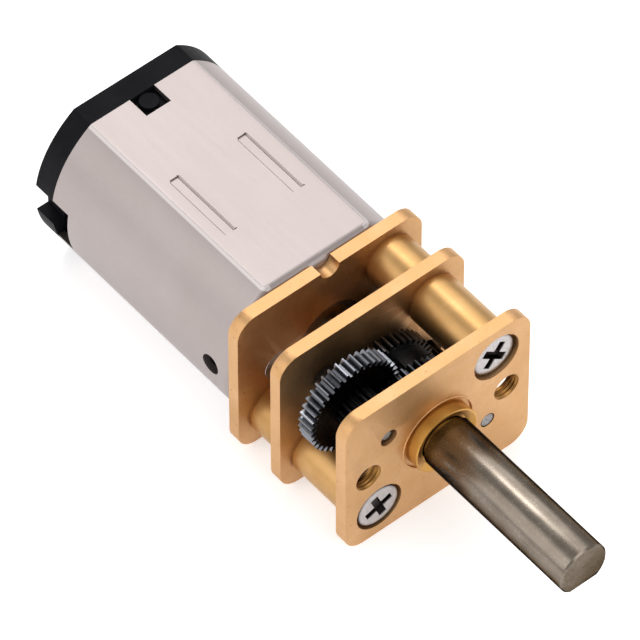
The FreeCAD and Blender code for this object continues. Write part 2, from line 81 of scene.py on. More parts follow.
def pick(piece, wantEdge=None, wantFace=None):
    # selects edges or faces by a test on their place, then leaves the piece in edit mode
    chooseOnly(piece)
    bpy.ops.object.mode_set(mode="EDIT")
    bpy.ops.mesh.select_mode(type="FACE" if wantFace else "EDGE")
    bpy.ops.mesh.select_all(action="DESELECT")
    bpy.ops.object.mode_set(mode="OBJECT")
    mesh = piece.data
    if wantEdge:
        for edge in mesh.edges:
            a, b = (mesh.vertices[i].co for i in edge.vertices)
            edge.select = wantEdge(a, b)
    if wantFace:
        for face in mesh.polygons:
            face.select = wantFace(face)
    bpy.ops.object.mode_set(mode="EDIT")


def endEdit():
    bpy.ops.object.mode_set(mode="OBJECT")


def tidyNormals(piece):
    chooseOnly(piece)
    bpy.ops.object.mode_set(mode="EDIT")
    bpy.ops.mesh.select_all(action="SELECT")
    bpy.ops.mesh.remove_doubles(threshold=tinyGap)
    bpy.ops.mesh.normals_make_consistent(inside=False)
    endEdit()


def applyModifier(piece, kind, **settings):
    chooseOnly(piece)
    modifier = piece.modifiers.new(kind.lower(), kind)
    for key, value in settings.items():
        setattr(modifier, key, value)
    bpy.ops.object.modifier_apply(modifier=modifier.name)


def softenEdges(piece, width, angle=35, segments=2):
    applyModifier(piece, "BEVEL", width=width * mm, segments=segments, limit_method="ANGLE",
                  angle_limit=math.radians(angle), use_clamp_overlap=True)


def smooth(piece, angle=32):
    chooseOnly(piece)
    bpy.ops.object.shade_smooth_by_angle(angle=math.radians(angle))


def evenNormals(piece):
    # keeps broad flat faces flat where they meet small bevels
    applyModifier(piece, "WEIGHTED_NORMAL", mode="FACE_AREA", weight=100, keep_sharp=True)


def turned(name, stations, at=(0.0, 0.0), hollow=False, sides=96):
    # a lathe piece along X: each station is (x, radius) in millimetres, and at is its (y, z)
    clearSelection()
    x, radius = stations[0]
    bpy.ops.mesh.primitive_circle_add(vertices=sides, radius=radius * mm, fill_type="NOTHING",
                                      location=(x * mm, at[0] * mm, at[1] * mm),
                                      rotation=(0, math.radians(90), 0))
    piece = startPiece(name)
    bpy.ops.object.mode_set(mode="EDIT")
    bpy.ops.mesh.select_mode(type="EDGE")
    bpy.ops.mesh.select_all(action="SELECT")
    for (x0, r0), (x1, r1) in zip(stations, stations[1:]):
        bpy.ops.mesh.extrude_region_move(TRANSFORM_OT_translate={"value": ((x1 - x0) * mm, 0, 0)})
        grow = r1 / r0
        if grow != 1:
            bpy.ops.transform.resize(value=(1, grow, grow),
                                     center_override=(x1 * mm, at[0] * mm, at[1] * mm))
    bpy.ops.mesh.select_all(action="SELECT")
    bpy.ops.mesh.remove_doubles(threshold=tinyGap)
    if not hollow:
        bpy.ops.mesh.select_all(action="DESELECT")
        bpy.ops.mesh.select_non_manifold()
        bpy.ops.mesh.fill_holes(sides=0)
    endEdit()
    tidyNormals(piece)
    return piece


def ring(stations):
    # closes a hollow piece's profile on its first station
    return stations + [stations[0]]


def rodCutter(x0, x1, radius, at=(0.0, 0.0), sides=64):
    clearSelection()
    bpy.ops.mesh.primitive_cylinder_add(vertices=sides, radius=radius * mm, depth=abs(x1 - x0) * mm,
                                        location=((x0 + x1) / 2 * mm, at[0] * mm, at[1] * mm),
                                        rotation=(0, math.radians(90), 0))
    return startPiece("cutter")


def boxCutter(low, high, turn=0.0, about=(0.0, 0.0)):
    # a block between two corners in millimetres, turned about an axis along X
    clearSelection()
    centre = [(a + b) / 2 * mm for a, b in zip(low, high)]
    size = [(b - a) * mm for a, b in zip(low, high)]
    bpy.ops.mesh.primitive_cube_add(size=1, location=centre, scale=size)
    piece = startPiece("cutter")
    if turn:
        pivot = Vector((0, about[0] * mm, about[1] * mm))
        spin = Matrix.Translation(pivot) @ Matrix.Rotation(math.radians(turn), 4, "X")
        piece.data.transform(spin @ Matrix.Translation(-pivot))
    return piece


def cutAway(piece, cutters):
    for cutter in cutters:
        applyModifier(piece, "BOOLEAN", operation="DIFFERENCE", solver="MANIFOLD", object=cutter)
        bpy.data.objects.remove(cutter)
    # broad faces with holes in them are split up before their edges are softened
    applyModifier(piece, "TRIANGULATE", min_vertices=5)


def weld(name, parts):
    # joins parts that overlap into one closed piece
    whole = parts[0]
    for part in parts[1:]:
        applyModifier(whole, "BOOLEAN", operation="UNION", solver="MANIFOLD", object=part)
        bpy.data.objects.remove(part)
    whole.name = name
    return whole


def finishPiece(piece, body, material, stands=()):
    piece.data.materials.clear()
    piece.data.materials.append(material)
    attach(piece, body)
    if stands:
        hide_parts(*stands)


# Shader maths

class Signal:
    # one output in a material's nodes; arithmetic on it adds Math nodes
    def __init__(self, tree, socket):
        self.tree = tree
        self.socket = socket

    def maths(self, operation, *others):
        node = self.tree.nodes.new("ShaderNodeMath")
        node.operation = operation
        for place, value in zip(node.inputs, (self, *others)):
            if isinstance(value, Signal):
                self.tree.links.new(value.socket, place)
            else:
                place.default_value = value
        return Signal(self.tree, node.outputs[0])

    def __add__(self, other):
        return self.maths("ADD", other)

    def __mul__(self, other):
        return self.maths("MULTIPLY", other)

    def __sub__(self, other):
        return self.maths("SUBTRACT", other)

    def __rsub__(self, other):
        return (self * -1.0).maths("ADD", other)

    def __truediv__(self, other):
        return self.maths("DIVIDE", other)

    def __pow__(self, other):
        return self.maths("POWER", other)

    __radd__ = __add__
    __rmul__ = __mul__

    def clamp(self, low=0.0, high=1.0):
        return self.maths("MAXIMUM", low).maths("MINIMUM", high)


class Finish:
    # a Principled material whose fixed values sit on the shader's own sockets
    def __init__(self, name, **fixed):
        self.material = bpy.data.materials.new(name)
        self.material.use_nodes = True
        self.tree = self.material.node_tree
        self.shader = self.tree.nodes["Principled BSDF"]
        for key, value in fixed.items():
            self.shader.inputs[key].default_value = value
        self.place = self.node("ShaderNodeTexCoord", output="Object")

    def node(self, kind, output=0, settings=None, inputs=None):
        # the only place a node is added: its type, its settings and what goes in each input
        node = self.tree.nodes.new(kind)
        for key, value in (settings or {}).items():
            if key == "stops":
                ramp = node.color_ramp
                while len(ramp.elements) < len(value):
                    ramp.elements.new(0.5)
                for element, (position, colour) in zip(ramp.elements, value):
                    element.position = position
                    element.color = (*colour, 1)
            else:
                setattr(node, key, value)
        for key, value in (inputs or {}).items():
            socket = node.inputs[key]
            if isinstance(value, Signal):
                self.tree.links.new(value.socket, socket)
            else:
                socket.default_value = value
        return Signal(self.tree, node.outputs[output])

    def noise(self, scale, detail=3.0, roughness=0.5, stretch=(1, 1, 1)):
        where = self.place
        if stretch != (1, 1, 1):
            where = self.node("ShaderNodeMapping", inputs={"Vector": where, "Scale": stretch})
        return self.node("ShaderNodeTexNoise", "Fac", inputs={
            "Vector": where, "Scale": scale, "Detail": detail, "Roughness": roughness})

    def ramp(self, signal, *stops):
        return self.node("ShaderNodeValToRGB", "Color", {"stops": stops}, {"Fac": signal})

    def mix(self, factor, first, second):
        first, second = (v if isinstance(v, Signal) else (*v, 1) for v in (first, second))
        return self.node("ShaderNodeMix", 2, {"data_type": "RGBA"}, {0: factor, 6: first, 7: second})

    def feed(self, name, signal):
        self.tree.links.new(signal.socket, self.shader.inputs[name])
        return self

    def bump(self, height, strength, distance):
        return self.feed("Normal", self.node("ShaderNodeBump", "Normal", inputs={
            "Height": height, "Strength": strength, "Distance": distance}))

    def axes(self, of=None):
        # the x, y and z of a vector, the object's own coordinates if none is given
        split = self.node("ShaderNodeSeparateXYZ", 0, inputs={0: of or self.place})
        return [Signal(self.tree, output) for output in split.socket.node.outputs]


# Materials

fineGrain, coarseGrain, stoneGrain, strandGrain = 0.01 * mm, 0.02 * mm, 0.03 * mm, 0.05 * mm  # relief depths
# each finish's colours from its darkest to its lightest, then what lies on them
tones = {
    "sheetBrass": ((0.53, 0.30, 0.125), (0.61, 0.36, 0.17), (0.68, 0.435, 0.24)),
    "brassStain": (0.30, 0.16, 0.07),
    "turnedBrass": ((0.45, 0.255, 0.095), (0.57, 0.345, 0.145)),
    "brassBushing": ((0.50, 0.25, 0.05), (0.62, 0.34, 0.09)),
    "brassThread": ((0.30, 0.145, 0.04), (0.44, 0.23, 0.07)),
    # the can's corner colour is a painted highlight along its long corners
    "canNickel": ((0.35, 0.302, 0.29), (0.396, 0.348, 0.34)), "canCornerHighlight": (0.60, 0.55, 0.54),
    "shaftSteel": ((0.155, 0.128, 0.10), (0.25, 0.213, 0.178)), "shaftFleck": (0.5, 0.44, 0.38),
    "shaftEdge": (0.05, 0.045, 0.04),  # what the shaft reflects where it is seen edge on
    "capPlastic": ((0.005, 0.005, 0.006), (0.010, 0.010, 0.012)),
    "blackOxide": ((0.006, 0.006, 0.007), (0.0132, 0.0132, 0.0154)),
    # the axle's ring colour is painted shade round the axle's end
    "axleEnd": ((0.16, 0.16, 0.165), (0.38, 0.375, 0.37)), "axleRingShade": (0.02, 0.015, 0.012),
    "copperWire": ((0.30, 0.10, 0.03), (0.70, 0.30, 0.12)),
    "ferrite": ((0.02, 0.02, 0.02), (0.05, 0.05, 0.05)),
    "laminations": ((0.12, 0.12, 0.12), (0.4, 0.4, 0.4)),
    # the screw's recess colour is painted shade in the cross recess
    "screwPlating": ((0.40, 0.375, 0.37), (0.54, 0.51, 0.51)), "screwRecessShade": (0.022, 0.016, 0.014),
}


def sheetBrass():
    look = Finish("sheetBrass", Metallic=1.0)
    blotch = look.noise(420, 4.0, 0.6)
    grain = look.noise(11000, 2.0, 0.6)
    fleck = look.noise(4200, 2.0, 0.7)
    tone = blotch * 0.65 + grain * 0.35
    colour = look.ramp(tone, *zip((0.32, 0.55, 0.72), tones["sheetBrass"]))
    worn = (fleck - 0.64).clamp(0.0, 0.1) * 6.0
    look.feed("Base Color", look.mix(worn, colour, tones["brassStain"]))
    look.feed("Roughness", 0.34 + grain * 0.18 + blotch * 0.08)
    look.bump(grain * 0.7 + fleck * 0.3, 0.45, coarseGrain)
    return look.material


def turnedBrass(name, rough):
    look = Finish(name, Metallic=1.0)
    rings = look.noise(9000, 3.0, 0.6, (1, 0.02, 0.02))
    blotch = look.noise(500, 3.0, 0.6)
    look.feed("Base Color", look.ramp(rings * 0.15 + blotch * 0.85, *zip((0.3, 0.7), tones[name])))
    look.feed("Roughness", rough + rings * 0.1)
    look.bump(rings, 0.04, coarseGrain)
    return look.material


def canNickel():
    look = Finish("canNickel", Metallic=1.0)
    streak = look.noise(2600, 4.0, 0.65, (0.06, 1, 1))
    blotch = look.noise(260, 4.0, 0.6)
    grain = look.noise(6000, 2.0, 0.6)
    tone = blotch * 0.6 + streak * 0.2 + grain * 0.2
    dull = look.ramp(tone, *zip((0.3, 0.7), tones["canNickel"]))
    y, z = look.axes()[1:]
    # painted highlight: a lighter band along the long corners where the flats end
    height = z.maths("ABSOLUTE")
    corner = ((height - 4.86 * mm) / (0.03 * mm)).clamp() * ((4.992 * mm - height) / (0.02 * mm)).clamp()
    aside = ((y.maths("ABSOLUTE") - 3.0 * mm) / (0.05 * mm)).clamp()
    look.feed("Base Color", look.mix(corner * aside, dull, tones["canCornerHighlight"]))
    look.feed("Roughness", 0.36 + streak * 0.1 + blotch * 0.05)
    look.bump(streak * 0.5 + grain * 0.5, 0.1, coarseGrain)
    return look.material


def steel(name, dark, light, rough=0.28, along=(0.04, 1, 1)):
    # streaked along X unless along says otherwise
    look = Finish(name, Metallic=1.0)
    streak = look.noise(7000, 4.0, 0.6, along)
    blotch = look.noise(700, 3.0, 0.5)
    look.feed("Base Color", look.ramp(streak * 0.5 + blotch * 0.5, (0.32, dark), (0.68, light)))
    look.feed("Roughness", rough + streak * 0.14)
    look.bump(streak, 0.15, fineGrain)
    return look.material


def shaftSteel():
    look = Finish("shaftSteel", **{"Metallic": 1.0, "Specular Tint": (*tones["shaftEdge"], 1)})
    streak = look.noise(7000, 4.0, 0.6, (0.05, 1, 1))
    blotch = look.noise(900, 4.0, 0.6)
    fleck = look.noise(9000, 2.0, 0.7)
    tone = blotch * 0.6 + streak * 0.4
    colour = look.ramp(tone, *zip((0.3, 0.7), tones["shaftSteel"]))
    look.feed("Base Color", look.mix((fleck - 0.62).clamp(0.0, 0.1) * 4.0, colour, tones["shaftFleck"]))
    look.feed("Roughness", 0.21 + fleck * 0.1)
    look.bump(streak * 0.5 + fleck * 0.5, 0.06, fineGrain)
    return look.material


def capPlastic():
    look = Finish("capPlastic", **{"Specular IOR Level": 0.05})
    grain = look.noise(5200, 3.0, 0.6)
    blotch = look.noise(500, 3.0, 0.6)
    look.feed("Base Color", look.ramp(blotch, *zip((0.3, 0.7), tones["capPlastic"])))
    look.feed("Roughness", 0.42 + grain * 0.2)
    look.bump(grain, 0.3, coarseGrain)
    return look.material


def gearSteel(name, centre, toothStart, bright):
    # black oxide on the faces, barer metal where the teeth are cut in the given tooth colour, darkened for
    # some wheels as painted shade; centre is (y, z) in metres
    look = Finish(name, Metallic=1.0)
    y, z = look.axes()[1:]
    away = ((y - centre[0]) ** 2.0 + (z - centre[1]) ** 2.0) ** 0.5
    grain = look.noise(5200, 3.0, 0.6)
    cut = ((away - toothStart) / (0.03 * mm)).clamp()
    facing = look.axes(look.node("ShaderNodeNewGeometry", "Normal"))[0].maths("ABSOLUTE")
    mask = cut * (1 - facing * 1.4).clamp()
    base = look.ramp(grain, *zip((0.3, 0.7), tones["blackOxide"]))
    metal = look.ramp(grain, (0.3, tuple(v * 0.7 for v in bright)), (0.7, bright))
    look.feed("Base Color", look.mix(mask, base, metal))
    look.feed("Roughness", 0.22 + grain * 0.14)
    look.bump(grain, 0.12, coarseGrain)
    return look.material


def pinSteel(name, centre, core):
    # the ground end of an axle, with painted shade beyond its core radius for the dark hole round it; centre
    # and core are in metres
    look = Finish(name, Metallic=1.0)
    y, z = look.axes()[1:]
    away = ((y - centre[0]) ** 2.0 + (z - centre[1]) ** 2.0) ** 0.5
    grain = look.noise(8000, 3.0, 0.6)
    face = look.ramp(grain, *zip((0.35, 0.65), tones["axleEnd"]))
    look.feed("Base Color", look.mix(((away - core) / (0.05 * mm)).clamp(), face, tones["axleRingShade"]))
    look.feed("Roughness", 0.26 + grain * 0.2)
    look.bump(grain, 0.3, coarseGrain)
    return look.material


def copperWire():
    look = Finish("copperWire", Metallic=1.0)
    strands = look.noise(9000, 2.0, 0.5, (0.1, 1, 1))
    look.feed("Base Color", look.ramp(strands, *zip((0.35, 0.65), tones["copperWire"])))
    look.feed("Roughness", 0.3 + strands * 0.2)
    look.bump(strands, 0.8, strandGrain)
    return look.material


def ferrite():
    look = Finish("ferrite")
    grain = look.noise(4000, 4.0, 0.7)
    look.feed("Base Color", look.ramp(grain, *zip((0.3, 0.7), tones["ferrite"])))
    look.feed("Roughness", 0.6 + grain * 0.2)
    look.bump(grain, 0.4, stoneGrain)
    return look.material


def laminations():
    look = Finish("laminations", Metallic=1.0)
    x = look.axes()[0]
    sheets = (x * (2 * math.pi / (0.35 * mm))).maths("SINE") * 0.5 + 0.5
    grain = look.noise(3000, 3.0, 0.6)
    tone = sheets * 0.7 + grain * 0.3
    look.feed("Base Color", look.ramp(tone, *zip((0.2, 0.6), tones["laminations"])))
    look.feed("Roughness", 0.4 + grain * 0.2)
    return look.material


def screwPlating(name, face):
    # plated steel with painted shade in its cross recess, darker with depth below the head's face, given in
    # metres
    look = Finish(name, Metallic=1.0)
    x = look.axes()[0]
    grain = look.noise(5000, 3.0, 0.6)
    recessShade = ((face - 0.025 * mm - x) / (0.05 * mm)).clamp() - ((face - 0.36 * mm - x) / (0.02 * mm)).clamp()
    bright = look.ramp(grain, *zip((0.3, 0.7), tones["screwPlating"]))
    look.feed("Base Color", look.mix(recessShade.clamp(), bright, tones["screwRecessShade"]))
    look.feed("Roughness", 0.26 + grain * 0.14)
    look.bump(grain, 0.2, fineGrain)
    return look.material


brassSheet = sheetBrass()
brassTurned = turnedBrass("turnedBrass", 0.36)
brassBushing = turnedBrass("brassBushing", 0.34)
brassThread = turnedBrass("brassThread", 0.36)
nickel = canNickel()
plastic = capPlastic()
shaftMetal = shaftSteel()
axleMetal = steel("axleMetal", (0.28, 0.28, 0.28), (0.42, 0.42, 0.42), 0.28)
screwMetal = steel("screwMetal", (0.44, 0.42, 0.42), (0.57, 0.55, 0.55), 0.28, (1, 1, 1))
pinionMetal = steel("pinionMetal", (0.015, 0.015, 0.016), (0.06, 0.06, 0.065), 0.3, (1, 1, 1))
springMetal = steel("springMetal", (0.4, 0.4, 0.4), (0.6, 0.6, 0.6), 0.3, (1, 1, 1))
bronze = steel("bronze", (0.35, 0.20, 0.08), (0.55, 0.36, 0.17), 0.4, (1, 1, 1))
contact = steel("contactCopper", (0.55, 0.30, 0.16), (0.78, 0.48, 0.28), 0.28, (1, 1, 1))
copper = copperWire()
magnetBlack = ferrite()
coreSheets = laminations()
print("stage: materials")


def paint(name, material):
    node = nodes[name]
    node.data.materials.clear()
    node.data.materials.append(material)


def middleOf(name):
    low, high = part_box(name)
    return ((low.y + high.y) / 2, (low.z + high.z) / 2)


# Plates

plateSizes = {"corner": 1.2, "cornerSteps": 14, "edge": 0.05, "mountY": 4.5, "mountRadius": 0.8,
              "recess": 1.45, "recessDepth": 0.55, "screwHole": 0.85, "bushing": 2.0, "groove": 2.22,
              "grooveDepth": 0.12, "axle": 0.4, "axleRim": 0.45, "axleRimDepth": 0.12, "axleRecess": 0.52,
              "axleRecessDepth": 0.6,
              "window": 1.25, "spigot": 0.52, "notch": 0.6, "countersink": 0.95, "countersinkDepth": 0.5,
              "motorScrewY": 3.3, "motorScrew": 0.48, "screwShank": 0.78}


def inMillimetres(pair):
    return (pair[0] / mm, pair[1] / mm)


firstAxis = inMillimetres(middleOf("first_idler_axle"))
thirdAxis = inMillimetres(middleOf("third_idler_axle"))
upperPost = inMillimetres(middleOf("front_spacer_upper"))
lowerPost = inMillimetres(middleOf("front_spacer_lower"))
posts = (upperPost, lowerPost)


def plateBlank(name, node):
    low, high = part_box(node)
    clearSelection()
    bpy.ops.mesh.primitive_cube_add(size=1, location=(low + high) / 2, scale=high - low)
    piece = startPiece(name)
    pick(piece, wantEdge=lambda a, b: abs(a.x - b.x) > tinyGap)
    bpy.ops.mesh.bevel(offset=plateSizes["corner"] * mm, segments=plateSizes["cornerSteps"], profile=0.5)
    endEdit()
    return piece, low.x / mm, high.x / mm


def finishPlate(piece, node):
    softenEdges(piece, plateSizes["edge"], 40, 3)
    smooth(piece, 35)
    evenNormals(piece)
    finishPiece(piece, "frame", brassSheet, [node])


def buildPlates():
    s = plateSizes
    over = 0.5
    piece, back, front = plateBlank("frontPlateSheet", "front_plate")
    cutters = [rodCutter(back - over, front + over, s["bushing"])]
    cutters.append(rodCutter(front - s["grooveDepth"], front + over, s["groove"]))
    for side in (s["mountY"], -s["mountY"]):
        cutters.append(rodCutter(back - over, front + over, s["mountRadius"], (side, 0)))
    for at in posts:
        cutters.append(rodCutter(front - s["recessDepth"], front + over, s["recess"], at))
        cutters.append(rodCutter(back - over, front + over, s["screwHole"], at))
    cutters.append(rodCutter(back - over, front + over, s["axle"], firstAxis))
    cutters.append(rodCutter(back - over, front + over, s["axle"], thirdAxis))
    cutters.append(rodCutter(front - s["axleRimDepth"], front + over, s["axleRim"], firstAxis))
    cutters.append(rodCutter(front - s["axleRecessDepth"], front + over, s["axleRecess"], thirdAxis))
    cutAway(piece, cutters)
    finishPlate(piece, "front_plate")

    piece, back, front = plateBlank("middlePlateSheet", "middle_plate")
    cutters = [rodCutter(back - over, front + over, s["spigot"])]
    cutters.append(rodCutter(back - over, front + over, s["window"], firstAxis))
    cutters.append(rodCutter(back - over, front + over, s["axle"], thirdAxis))
    for at in posts:
        cutters.append(rodCutter(back - over, front + over, s["screwHole"], at))
    cutAway(piece, cutters)
    finishPlate(piece, "middle_plate")

    piece, back, front = plateBlank("rearPlateSheet", "rear_plate")
    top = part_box("rear_plate")[1].z / mm
    cutters = [rodCutter(back - over, front + over, s["bushing"])]
    cutters.append(rodCutter(back - over, front + over, s["axle"], firstAxis))
    cutters.append(rodCutter(back - over, front + over, s["notch"], (0, top)))
    for at in posts:
        cutters.append(rodCutter(back - over, front + over, s["screwShank"], at))
    for side in (s["motorScrewY"], -s["motorScrewY"]):
        stations = [(front + 0.02, s["countersink"] + 0.02), (front - s["countersinkDepth"], s["motorScrew"]),
                    (back - over, s["motorScrew"])]
        cutters.append(turned("cutter", stations, (side, 0)))
    cutAway(piece, cutters)
    finishPlate(piece, "rear_plate")


buildPlates()
print("stage: plates")

# Output bushing and mounting threads

bushingSizes = {"radius": 2.0, "bore": 1.38, "rim": 0.05, "mouth": 1.91, "mouthEnd": 1.5, "mouthDepth": 0.25,
                "bead": 2.26, "beadThick": 0.05}


def buildBushing():
    s = bushingSizes
    low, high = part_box("output_bushing")
    back, front = low.x / mm, high.x / mm
    outer, bore, rim = s["radius"], s["bore"], s["rim"]
    mouthFloor = front - s["mouthDepth"]
    stations = [(back, outer), (front - rim, outer), (front - rim * 0.3, outer - rim * 0.3),
                (front, outer - rim), (front, s["mouth"]), (mouthFloor, s["mouthEnd"]), (mouthFloor, bore),
                (back, bore)]
    piece = turned("outputBushing", ring(stations), hollow=True)
    smooth(piece, 30)
    finishPiece(piece, "frame", brassBushing, ["output_bushing"])
    clearSelection()
    bpy.ops.mesh.primitive_torus_add(major_radius=s["bead"] * mm, minor_radius=s["beadThick"] * mm,
                                     major_segments=96, minor_segments=12,
                                     rotation=(0, math.radians(90), 0))
    bead = startPiece("bushingBead")
    smooth(bead, 60)
    finishPiece(bead, "frame", brassSheet)


threadSizes = {"outer": 0.8, "inner": 0.72, "pitch": 0.2, "bite": 0.02, "crestGap": 0.01, "endGap": 0.04}


def buildThreads():
    s = threadSizes
    low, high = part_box("front_plate")
    back, front = low.x / mm, high.x / mm
    root, buried, half = s["outer"] - s["crestGap"], s["outer"] + s["bite"], s["pitch"] / 2
    for name, side in (("Right", plateSizes["mountY"]), ("Left", -plateSizes["mountY"])):
        stations = [(front - s["endGap"], buried)]
        x = front - s["endGap"] - 0.02
        while x - half > back + s["endGap"]:
            stations += [(x, root), (x - half, s["inner"])]
            x -= s["pitch"]
        stations += [(back + s["endGap"], root), (back + s["endGap"], buried)]
        piece = turned("mountThread" + name, ring(stations), (side, 0), hollow=True, sides=48)
        smooth(piece, 60)
        finishPiece(piece, "frame", brassThread)


buildBushing()
buildThreads()
print("stage: bushing and threads")

# Spacer posts

spacerSizes = {"radius": 1.5, "bore": 0.85, "chamfer": 0.08, "shoulder": 0.1, "shoulderLong": 0.12,
               "shoulderSlope": 0.04}


def buildSpacers():
    s = spacerSizes
    for level, at in (("upper", upperPost), ("lower", lowerPost)):
        for room in ("front", "rear"):
            node = f"{room}_spacer_{level}"
            low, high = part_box(node)
            back, front = low.x / mm, high.x / mm
            outer, chamfer, step = s["radius"], s["chamfer"], s["shoulder"]
            lip = back + s["shoulderLong"]
            stations = [(back, outer - step), (lip, outer - step), (lip + s["shoulderSlope"], outer),
                        (front - chamfer, outer), (front, outer - chamfer), (front, s["bore"]),
                        (back, s["bore"])]
            piece = turned(room + "Post" + level.title(), ring(stations), at, hollow=True)
            smooth(piece, 30)
            finishPiece(piece, "frame", brassTurned, [node])


buildSpacers()
print("stage: spacers")

# Screws

screwSizes = {"head": 1.3, "shank": 0.78, "headThick": 0.42, "dome": 0.06, "crossSpan": 1.9,
              "crossWidth": 0.5, "crossDepth": 0.34, "upperTurn": 51.0, "lowerTurn": 21.0,
              "upperSink": 0.16, "lowerSink": 0.03, "point": 0.2, "edge": 0.02, "motorHead": 0.95,
              "motorHeadThick": 0.5, "motorShank": 0.48, "motorRim": 0.03, "motorCross": 1.2,
              "motorCrossWidth": 0.2, "motorCrossDepth": 0.25, "motorTurn": 30.0}


def crossCutters(front, at, turn, span, width, depth):
    # two crossed blades that taper towards the floor of the recess
    blades = []
    for quarter in (0, 90):
        blade = boxCutter((front - depth, at[0] - span / 2, at[1] - width / 2),
                          (front + 0.3, at[0] + span / 2, at[1] + width / 2))
        pick(blade, wantFace=lambda face: face.normal.x < -0.9)
        bpy.ops.transform.resize(value=(1, 0.8, 0.85),
                                 center_override=(0, at[0] * mm, at[1] * mm))
        endEdit()
        pivot = Vector((0, at[0] * mm, at[1] * mm))
        spin = Matrix.Translation(pivot) @ Matrix.Rotation(math.radians(turn + quarter), 4, "X")
        blade.data.transform(spin @ Matrix.Translation(-pivot))
        blades.append(blade)
    return blades


def buildLongScrews():
    s = screwSizes
    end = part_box("gearbox_screws")[0].x / mm
    for level, at in (("upper", upperPost), ("lower", lowerPost)):
        face = -s[level + "Sink"]
        head, thick, shank = s["head"], s["headThick"], s["shank"]
        stations = [(face, head * 0.45), (face - 0.01, head * 0.75), (face - s["dome"] * 0.6, head * 0.93),
                    (face - s["dome"] * 1.4, head), (face - thick * 0.5, head),
                    (face - thick, shank), (end + s["point"], shank), (end, shank - s["point"])]
        piece = turned("longScrew" + level.title(), stations, at)
        cross = crossCutters(face, at, s[level + "Turn"], s["crossSpan"], s["crossWidth"], s["crossDepth"])
        cutAway(piece, cross)
        softenEdges(piece, s["edge"], 40, 2)
        smooth(piece, 35)
        plating = screwPlating(level + "ScrewPlating", face * mm)
        finishPiece(piece, "frame", plating, ["gearbox_screws"])


def buildMotorScrews():
    s = screwSizes
    low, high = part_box("motor_screws")
    face, end = high.x / mm, low.x / mm
    for name, side in (("Right", plateSizes["motorScrewY"]), ("Left", -plateSizes["motorScrewY"])):
        at = (side, 0.0)
        rim = s["motorRim"]
        stations = [(face, s["motorHead"] - rim), (face - rim, s["motorHead"]),
                    (face - s["motorHeadThick"], s["motorShank"]), (end, s["motorShank"])]
        piece = turned("motorScrew" + name, stations, at, sides=64)
        cutAway(piece, crossCutters(face, at, s["motorTurn"], s["motorCross"], s["motorCrossWidth"],
                                    s["motorCrossDepth"]))
        smooth(piece, 35)
        finishPiece(piece, "frame", screwMetal, ["motor_screws"])


buildLongScrews()
buildMotorScrews()
print("stage: screws")

# Output shaft

shaftSizes = {"radius": 1.5, "chamfer": 0.1, "flat": 1.1, "flatStart": 0.74, "journal": 1.34,
              "journalStart": 0.74, "seat": 1.2, "shoulder": -1.2, "seatEnd": -2.5, "spigot": 0.5,
              "edge": 0.03}


def buildShaft():
    s = shaftSizes
    low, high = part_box("output_shaft")
    tip, end = high.x / mm, low.x / mm
    radius, chamfer = s["radius"], s["chamfer"]
    stations = [(tip, radius - chamfer), (tip - chamfer, radius), (s["journalStart"], radius),
                (s["journalStart"], s["journal"]), (s["shoulder"], s["journal"]), (s["shoulder"], s["seat"]),
                (s["seatEnd"], s["seat"]), (s["seatEnd"], s["spigot"]), (end, s["spigot"])]
    piece = turned("outputShaft", stations, sides=128)
    cutAway(piece, [boxCutter((s["flatStart"], -3, -3), (tip + 1, 3, -s["flat"]))])
    softenEdges(piece, s["edge"], 40, 2)
    smooth(piece, 30)
    finishPiece(piece, "output", shaftMetal, ["output_shaft"])


buildShaft()
print("stage: output shaft")

# Motor can and end cap

canSizes = {"radius": 6.0, "half": 5.0, "blend": 0.28, "frontRound": 0.55, "wall": 0.4, "boss": 1.9,
            "bossBore": 1.5, "bossProud": 0.5, "ribY": 2.2, "ribWidth": 0.8, "ribSlope": 0.28,
            "ribDepth": 0.1, "ribFront": -13.45, "ribBack": -17.95, "ribLine": 0.05, "ribLineDepth": 0.14,
            "topNotch": 0.8, "topNotchFront": -22.0, "front": -9.15, "edge": 0.03, "notchDepth": 1.2,
            "sideNotch": 0.95, "sideNotchLow": -1.95, "sideNotchFront": -22.1, "vent": 0.6, "ventX": -10.6,
            "screwY": 3.3, "screw": 0.48}


def flatSidedBar(name, back, front, blend, frontRound=0.0, inset=0.0, sides=192):
    # a round bar with its top and bottom cut flat, the long corners softened and the front rim rounded
    s = canSizes
    clearSelection()
    bpy.ops.mesh.primitive_cylinder_add(vertices=sides, radius=(s["radius"] - inset) * mm,
                                        depth=(front - back) * mm, location=((front + back) / 2 * mm, 0, 0),
                                        rotation=(0, math.radians(90), 0))
    piece = startPiece(name)
    half = (s["half"] - inset) * mm
    for way in (1, -1):
        bpy.ops.object.mode_set(mode="EDIT")
        bpy.ops.mesh.select_all(action="SELECT")
        bpy.ops.mesh.bisect(plane_co=(0, 0, way * half), plane_no=(0, 0, way), use_fill=True,
                            clear_outer=True, threshold=tinyGap)
        endEdit()

    def longCorner(a, b):
        atFlat = abs(abs(a.z) - half) < 1e-6 and abs(abs(b.z) - half) < 1e-6
        return atFlat and abs(a.x - b.x) > 1e-5 and abs(a.y - b.y) < 1e-6

    pick(piece, wantEdge=longCorner)
    bpy.ops.mesh.bevel(offset=blend * mm, segments=8, profile=0.5)
    endEdit()
    tidyNormals(piece)
    if frontRound:
        pick(piece, wantEdge=lambda a, b: abs(a.x - front * mm) < 1e-6 and abs(b.x - front * mm) < 1e-6)
        bpy.ops.mesh.bevel(offset=frontRound * mm, segments=8, profile=0.5)
        endEdit()
        tidyNormals(piece)
    return piece


